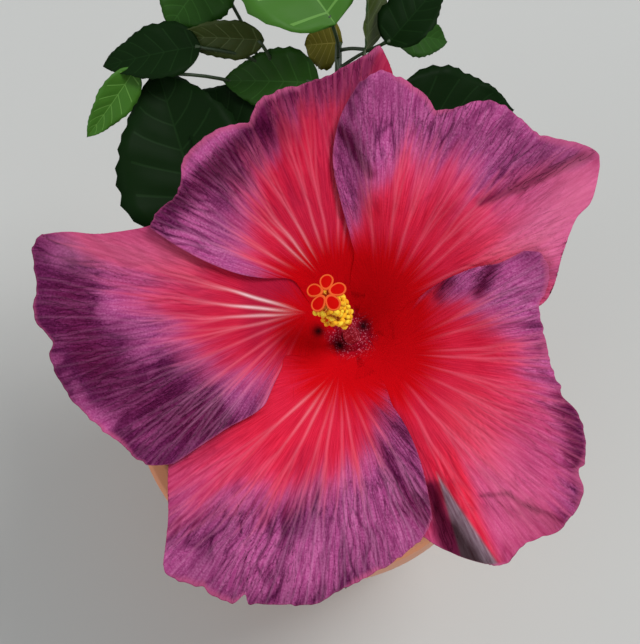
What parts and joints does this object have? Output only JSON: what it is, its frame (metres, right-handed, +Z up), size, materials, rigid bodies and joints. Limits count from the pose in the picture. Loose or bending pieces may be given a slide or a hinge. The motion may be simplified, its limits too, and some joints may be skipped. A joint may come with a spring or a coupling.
{
  "type": "potted hibiscus shrub",
  "caption": "Small potted hibiscus shrub: tapered terracotta-coloured pot, short woody stem, leafy shoots and one very large open red and purple flower.",
  "frame": {"origin": "centre of the flat underside of the pot", "axes": "+Z up the pot's axis; the flower looks up and 20 degrees forward, towards -Y; +X to the right of someone facing the flower"},
  "size_m": [0.2119, 0.2697, 0.3452],
  "materials": {
    "pot": "smooth moulded, terracotta colour",
    "soil": "moist potting compost",
    "bark": "thin grey-brown bark with fine ridges",
    "greenwood": "young green stem",
    "leaf": "glossy dark green leaf",
    "petal": "velvety petal, red heart to purple margin, pale veins",
    "column": "waxy dark red",
    "anther": "powdery yellow pollen",
    "stigma": "velvety red pads"
  },
  "bodies": {
    "root": {"pot": "pot", "soil": "soil", "trunk": "bark", "bough_flower": "greenwood", "bough_back": "bark", "bough_back_left": "bark", "bough_back_right": "bark", "bough_right": "bark", "bough_front": "bark", "bough_left": "bark", "flower_stalk": "greenwood", "petal_upper_right": "petal", "petal_upper": "petal", "petal_left": "petal", "petal_lower": "petal", "petal_lower_right": "petal", "calyx": "greenwood", "staminal_column": "column", "anthers": "anther", "stigma": "stigma", "shoot_back": "leaf", "shoot_back_left": "leaf", "shoot_back_right": "leaf", "shoot_right": "leaf", "shoot_front": "leaf", "shoot_left": "leaf"}
  },
  "joints": []
}
